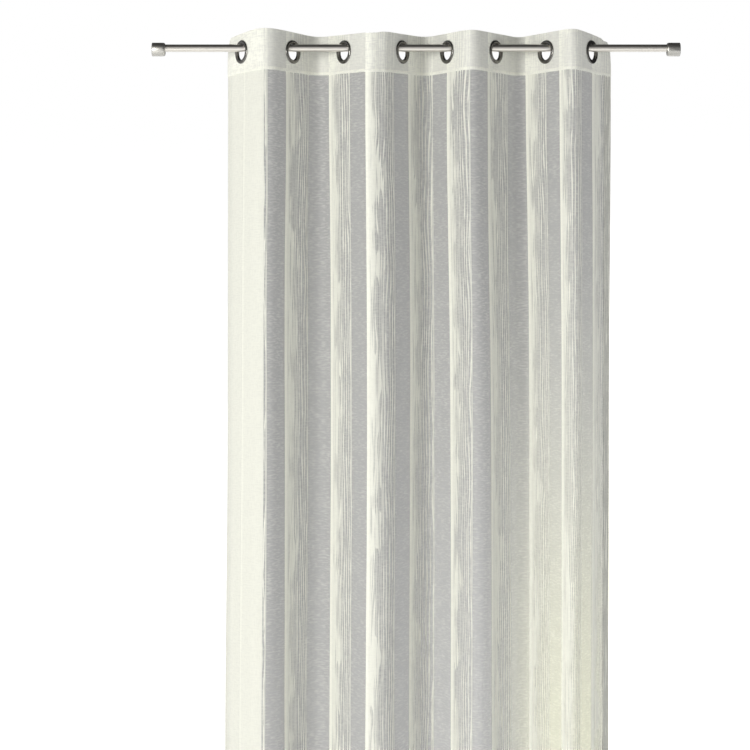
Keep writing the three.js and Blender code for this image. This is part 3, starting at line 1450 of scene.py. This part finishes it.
@dataclass
class Studio:
    """Pale floor, white surroundings, soft lamps and the camera."""

    frame_pixels: float = 750.0
    metre_per_pixel: float = 0.0023
    rod_pixel: Span = (416.0, 48.2)
    camera_distance: float = 5.0
    sensor: float = 36.0
    floor_gap: float = 0.016
    floor_radius: float = 4.6
    floor_sides: int = 128
    floor: PaleSweep = PaleSweep("pale_sweep", (0.90, 0.90, 0.89), (0.53, 0.53, 0.52))
    greys: tuple[Span, ...] = ((0.0, 0.30), (0.50, 0.26), (0.66, 0.22), (0.80, 0.07), (1.0, 0.05))
    pale_sides: tuple[PaleSide, ...] = (
        PaleSide(-0.93, 0.37, (0.60, 0.95), gain=2.6, mirrored=1.1),
        PaleSide(0.93, 0.37, (0.72, 0.93), gain=2.4, mirrored=-0.75),
    )
    low_edge: Span = (-0.20, 0.12)
    low_gain: float = 0.30
    low_right_edge: Span = (-0.01, 0.04)
    low_right_gain: float = 0.45
    warm_begin: Span = (0.046, 0.080)
    warm_end: Span = (0.096, 0.125)
    warm_tint: Colour = (1.0, 1.0, 0.72)
    warm_gain: float = 1.75
    lamps: tuple[SoftBox, ...] = (
        SoftBox("key", (-3.9, -4.6, -0.3), -0.8, (1.0, 2.2), 214.0, colour=(1.0, 0.99, 0.95)),
        SoftBox("front", (-0.1, -6.2, -1.0), -0.6, (2.2, 6.0), 16.0),
        SoftBox("fill", (4.2, -4.2, -1.2), -0.9, (2.5, 3.0), 60.0, lights=Lights.CLOTH),
        SoftBox("back", (0.8, 5.2, 0.4), -1.0, (3.0, 3.0), 120.0, lights=Lights.CLOTH),
    )

    def build(self) -> None:
        """Set up everything around the curtain."""
        self._lay_floor()
        self._surround()
        for lamp in self.lamps:
            lamp.build()
        self._stand_camera()
        settings = bpy.context.scene.view_settings
        settings.view_transform, settings.look = "Standard", "None"

    def _lay_floor(self) -> None:
        """Lay the floor a little below the hem."""
        bm = bmesh.new()
        stand = Matrix.Translation((0.0, 0.0, CAD_BOX[0].z - self.floor_gap))
        bmesh.ops.create_circle(
            bm, cap_ends=True, segments=self.floor_sides, radius=self.floor_radius, matrix=stand
        )
        add_mesh("floor", bm, self.floor.material())

    def _surround(self) -> None:
        """Set white behind the curtain, with a painted glow, brighter low down and warm low on the
        right, that only the camera sees through the sheer and that lights nothing; and around it
        dim walls that are dark overhead.
        """
        world = bpy.data.worlds.new("studio")
        bpy.context.scene.world = world
        world.use_nodes = True
        book = NodeBook(world.node_tree)
        right, back, up = book.axes("ShaderNodeTexCoord", {}, "Generated")
        path = book.add("ShaderNodeLightPath").outputs
        seen, mirrored = Flow(book, path["Is Camera Ray"]), Flow(book, path["Is Glossy Ray"])
        stops = [(place, (grey, grey, grey)) for place, grey in self.greys]
        walls = book.first("ShaderNodeValToRGB", {"stops": stops}, {0: up * 0.5 + 0.5})
        light = sum((side.glow(right, back, mirrored) for side in self.pale_sides), 1.0)
        around = book.first("ShaderNodeBackground", None, {"Color": walls, "Strength": light})
        # Painted glow, seen only by the camera through the sheer: brighter low down and warm low
        # on the right.
        low = 1.0 - up.rise(*self.low_edge)
        warm = right.rise(*self.warm_begin) * (1.0 - right.rise(*self.warm_end)) * low
        tint = book.blend(warm, (1.0, 1.0, 1.0), self.warm_tint)
        low_light = low * (self.low_gain + self.low_right_gain * right.rise(*self.low_right_edge))
        bright = 1.0 + low_light + warm * self.warm_gain
        behind = book.first("ShaderNodeBackground", None, {"Color": tint, "Strength": bright})
        sky = book.first("ShaderNodeMixShader", None, {0: seen, 1: around, 2: behind})
        book.add("ShaderNodeOutputWorld", None, {"Surface": sky})

    def _stand_camera(self) -> None:
        """Stand the camera level in front of the curtain, where the photograph was taken from."""
        half = self.frame_pixels / 2
        across = (half - self.rod_pixel[0]) * self.metre_per_pixel
        down = (half - self.rod_pixel[1]) * self.metre_per_pixel
        data = bpy.data.cameras.new("camera")
        data.sensor_width = self.sensor
        data.lens = self.sensor * self.camera_distance / (self.frame_pixels * self.metre_per_pixel)
        camera = bpy.data.objects.new("camera", data)
        camera.location = (across, -self.camera_distance, -down)
        camera.rotation_euler = (math.pi / 2, 0.0, 0.0)
        bpy.context.scene.collection.objects.link(camera)
        bpy.context.scene.camera = camera


# The whole curtain


# The sheer's grey ground is painted shade: the darkness seen through its open weave, painted into
# the yarn's colour.
SHEER = Voile(
    "sheer_voile", Layers.SINGLE, ground=(0.364, 0.364, 0.359), ivory=(0.93, 0.935, 0.845),
    ground_alpha=0.61, ivory_alpha=0.93, ground_cover=0.0, mottle=0.10,
)
HEADING_CLOTH = Voile(
    "heading_voile", Layers.DOUBLED, ground=(0.64, 0.64, 0.61), ivory=(0.905, 0.91, 0.825),
    ground_alpha=0.99, ivory_alpha=0.995, ground_cover=0.34, mottle=0.50,
)
ROD_STEEL = SatinSteel("rod_steel", (0.78, 0.75, 0.70), 0.30, along=(1.0, 0.0, 0.0))
CAP_STEEL = SatinSteel("cap_steel", (0.56, 0.55, 0.52), 0.40, along=(1.0, 0.0, 0.0))
# The rings' dark colour is partly painted shade: steel, darkened to stand in for the dark
# surroundings it mirrors.
RING_STEEL = SatinSteel("ring_steel", (0.21, 0.205, 0.195), 0.22, along=(0.0, 0.0, 1.0))
THREAD = SewingThread("ivory_thread", (0.88, 0.88, 0.79))


def main() -> None:
    """Build the curtain, piece by piece, and the studio around it."""
    sizes, drape = ClothSizes.measured(), Drape()
    heading = HeadingBand(sizes, drape, HEADING_CLOTH.material())
    panel = VoilePanel(sizes, drape, SHEER.material(), heading)
    stitch = Stitch(THREAD.material())
    sheer, band = panel.build(), heading.build()
    hems, seam = panel.stitch(stitch), heading.stitch(stitch)

    steel = RING_STEEL.material()
    seats = enumerate(drape.seats(), 1)
    rings = [EyeletRing(steel, number, seat.turn).build() for number, seat in seats]
    RodTube(ROD_STEEL.material()).build()
    steel = CAP_STEEL.material()
    EndCap(steel, "cap_left", -1.0).build()
    EndCap(steel, "cap_right", 1.0).build()

    sizes.body + sizes.bottom_hem
    Studio().build()

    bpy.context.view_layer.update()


if __name__ == "__main__":
    logging.basicConfig(level=logging.INFO, format="%(relativeCreated)6d ms %(name)s: %(message)s")
    main()
